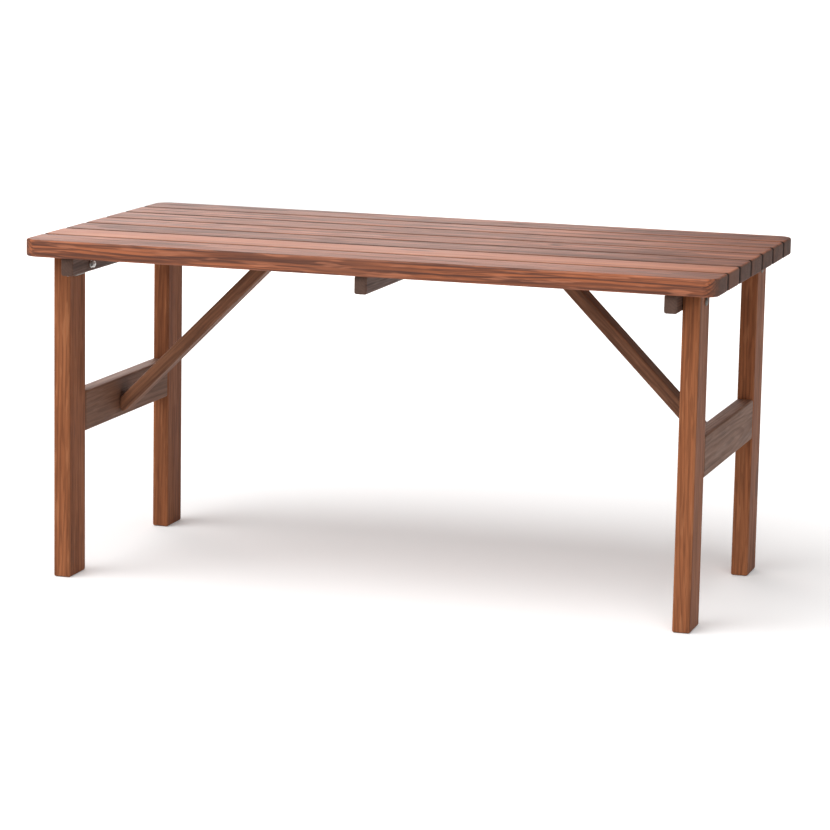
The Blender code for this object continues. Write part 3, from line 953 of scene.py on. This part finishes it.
def make_leg_hinge(corner, side):
    """One leaf let into the leg and one into the batten, with a hole each for their bolts."""
    out = outward_x(side)
    leaf = box_of(f"hinge_leg_leaf_{corner}")
    bolt = box_of(f"batten_bolt_{corner}")
    outer, middle = knuckle_spans(2 * leaf.half[1])
    pin = f"hinge_pin_{corner}"
    room = box_of(pin).middle[2] - leaf.low[2] + KNUCKLE_ROOM
    hinge = Hinge(pin, LEG_LEAF_NEAR, LEG_KNUCKLE, room)
    at = np.array((hinge.pin.middle[0], bolt.middle[1], bolt.middle[2]))
    for kind, body, off, knuckles in (
        ("leg", f"leg_frame_{side}", out, middle),
        ("batten", "table_top", -out, outer),
    ):
        hole = drill(at, X, OPEN, bolt.half[2] + FIT_GAP)
        hinge.leaf(f"hinge_{kind}_leaf_{corner}", body, Z, off, knuckles, [hole])
    make_pin(pin)


def make_bolts(corner, side):
    """The leg's round-headed bolt, and the batten's stud with its washer and nut. Each starts
    at its end on the hinge's side."""
    out = outward_x(side)
    box = {kind: box_of(f"{kind}_{corner}") for kind in ("leg_bolt", "batten_bolt", "washer", "nut")}
    long = {kind: 2 * box[kind].half[0] for kind in box}
    shank = box["batten_bolt"].half[2]
    bore = shank + FIT_GAP / 2
    head = box["leg_bolt"].half[2]
    rim = box["washer"].half[2]
    shapes = {
        "leg_bolt": turned_surface(
            coach_bolt(long["leg_bolt"], shank, head, long["leg_bolt"] - BOLT_SHANK)
        ),
        "batten_bolt": threaded_stud(long["batten_bolt"], shank, THREAD_PITCH, THREAD_LENGTH),
        "washer": turned_surface(chamfered_ring(long["washer"], bore, rim, STEEL_EDGE)),
        "nut": hexagon_nut(long["nut"], bore, 2 * box["nut"].half[1]),
    }
    for kind, grids in shapes.items():
        body, direction, material = "table_top", -out, ZINC_STEEL
        if kind == "leg_bolt":
            body, direction, material = f"leg_frame_{side}", out, DULL_STEEL
        node = f"{kind}_{corner}"
        start = box[kind].middle - box[kind].half[0] * direction
        axes = (Y, Z, direction)
        fitting(node + "_steel", grids, axes, start, body, material, "zinc_steel", node)


def make_brace_hinge(side):
    """Leaves screwed on the middle slat and on the brace's outer face, and their screws."""
    leaf = box_of(f"brace_hinge_top_leaf_{side}")
    outer, middle = knuckle_spans(2 * leaf.half[1])
    pin = f"brace_hinge_pin_{side}"
    room = STRAP_LEAF_NEAR + LEAF_THICK + KNUCKLE_ROOM
    hinge = Hinge(pin, STRAP_LEAF_NEAR, STRAP_KNUCKLE, room)
    for kind, body, along, off, knuckles in (
        ("top_leaf", "table_top", -outward_x(side), Z, outer),
        ("leaf", f"brace_arm_{side}", down_brace(side), out_of_brace(side), middle),
    ):
        node = f"brace_hinge_{kind}_{side}"
        face = hinge.pin.middle + STRAP_LEAF_NEAR * off
        places = [face + u * along + v * Y for u, v in STRAP_SCREWS]
        holes = [countersink(at, -off) for at in places]
        hinge.leaf(node, body, along, off, knuckles, holes)
        screws(f"brace_hinge_{kind}_screws_{side}", places, -off, body)
    make_pin(pin)


def make_catch(side):
    """The ball catch in the brace's lower end: a barrel with a lip, and its round nose, which
    is part of a ball: x = length - ball * (1 - sin a), radius = ball * cos a."""
    out = outward_x(side)
    node = f"ball_catch_{side}"
    box = box_of(node)
    length = 2 * box.half[0]
    barrel = box.half[2]
    ball = 0.65 * barrel
    edge = STEEL_EDGE
    angle = np.linspace(0.55, math.pi / 2, 9)
    nose = np.stack([length - ball + ball * np.sin(angle), ball * np.cos(angle)], axis=1)
    lip = length - 4 * edge
    rim = [(lip - edge, barrel), (lip, barrel - edge), (lip, ball + 0.0002), (lip - edge, ball)]
    profile = chamfered_bar(length, barrel, edge)[:3] + rim + nose.tolist()
    fitting(
        node + "_steel",
        turned_surface(profile),
        (Y, Z, out),
        box.middle - box.half[0] * out,
        f"brace_arm_{side}",
        ZINC_STEEL,
        "zinc_steel",
        node,
    )


def make_striking_plate(side):
    """The plate in the crossrail, with a dimple for the ball and two screws."""
    out = outward_x(side)
    node = f"striking_plate_{side}"
    plate = box_of(node)
    face = plate.middle - plate.half[0] * out
    places = [face + v * Z for v in PLATE_SCREWS]
    dimple = [(-0.0022, 0), (-0.0014, 0.0018), (0, 0.0026), (0.002, 0.003), (0.002, 0)]
    dimple = placed(turned_surface(dimple, 32), (Y, Z, -out), face)
    dimple = mesh_piece("helper_ball", *join_grids(dimple))
    fitting(
        node + "_steel",
        board_surface(plate.half[::-1], arris=PIN_EDGE, corners=[PLATE_CORNER] * 4, cell=0.01),
        (Z, Y, out),
        plate.middle,
        f"leg_frame_{side}",
        ZINC_STEEL,
        "zinc_steel",
        node,
        cutters=[countersink(at, -out) for at in places] + [dimple],
    )
    screws(f"striking_plate_screws_{side}", places, -out, f"leg_frame_{side}")


def make_slat_screws():
    """Two screws up through each batten into each slat, their heads just below it."""
    for name in ("left", "middle", "right"):
        batten = box_of(f"batten_{name}")
        slats = [box_of(f"slat_{number}") for number in range(1, SLATS + 1)]
        places = [
            np.array((batten.middle[0], slat.middle[1] + offset, batten.low[2] - 0.0004))
            for slat in slats
            for offset in SLAT_SCREWS
        ]
        screws(f"slat_screws_{name}", places, -Z, "table_top")


for side in SIDES:
    for row in ROWS:
        corner = f"{row}_{side}"
        make_leg_hinge(corner, side)
        make_bolts(corner, side)
    make_brace_hinge(side)
    make_catch(side)
    make_striking_plate(side)
make_slat_screws()

# ---- The studio ----


def make_floor():
    """A wide pale disc, as rings of points about the origin. From below it is clear."""
    radius = np.array([0.0, 2.0, 8.0, 30.0, 90.0])
    angle = np.linspace(2 * math.pi, 0, 65)
    x = radius[:, None] * np.cos(angle)
    y = radius[:, None] * np.sin(angle)
    floor = mesh_piece("studio_floor", *join_grids([np.stack([x, y, 0 * x], axis=-1)]))
    paint = Paint(
        "studio_floor_paint", roughness=0.9, specular_ior_level=0.0, emission_strength=FLOOR_GLOW
    )
    paint.set("Base Color", rgb(0.82, 0.82, 0.82))
    paint.set("Emission Color", rgb(1.0, 1.0, 1.0))
    below = paint.node("NewGeometry", None, None, 6)
    pale = Value(paint, paint.shader.outputs[0])
    clear = paint.node("BsdfTransparent")
    either = paint.node("MixShader", None, {0: below, 1: pale, 2: clear})
    paint.feed(paint.tree.nodes["Material Output"].inputs[0], either)
    floor.data.materials.append(paint.material)


def add_lamp(name, data, turn, place=(0, 0, 0)):
    lamp = bpy.data.objects.new(name, data)
    lamp.location = place
    lamp.rotation_euler = turn
    bpy.context.scene.collection.objects.link(lamp)


def make_light():
    """Soft light: a wide key from the front and above, and a pale panel behind on the left that
    the top reflects. The air is white to look at, and gives less light than it shows."""
    world = bpy.data.worlds.new("studio_air")
    world.use_nodes = True
    air = Nodes(world.node_tree)
    level = {"Value": air.node("LightPath"), "To Min": AIR_LIGHT, "To Max": 1.0}
    background = air.tree.nodes["Background"]
    air.feed(background.inputs["Color"], rgb(1.0, 1.0, 1.0))
    air.feed(background.inputs["Strength"], air.node("MapRange", None, level))
    bpy.context.scene.world = world

    key = bpy.data.lights.new("key_light", "SUN")
    key.energy = KEY_LIGHT
    key.angle = KEY_SPREAD
    add_lamp("key_light", key, KEY_TURN)

    panel = bpy.data.lights.new("back_panel", "AREA")
    panel.shape = "RECTANGLE"
    panel.size = 5.0
    panel.size_y = 3.0
    panel.energy = BACK_PANEL
    panel.color = (1.0, 0.87, 0.83)
    add_lamp("back_panel", panel, PANEL_TURN, PANEL_PLACE)


def make_camera():
    lens = bpy.data.cameras.new("camera")
    lens.lens = CAMERA_LENS
    camera = bpy.data.objects.new("camera", lens)
    turn = Matrix.Rotation(CAMERA_YAW, 4, "Z") @ Matrix.Rotation(math.pi / 2 + CAMERA_PITCH, 4, "X")
    turn = turn @ Matrix.Rotation(CAMERA_ROLL, 4, "Z")
    camera.matrix_world = Matrix.Translation(CAMERA_PLACE) @ turn
    bpy.context.scene.collection.objects.link(camera)
    bpy.context.scene.camera = camera


make_floor()
make_light()
make_camera()
bpy.context.scene.view_settings.view_transform = "Standard"
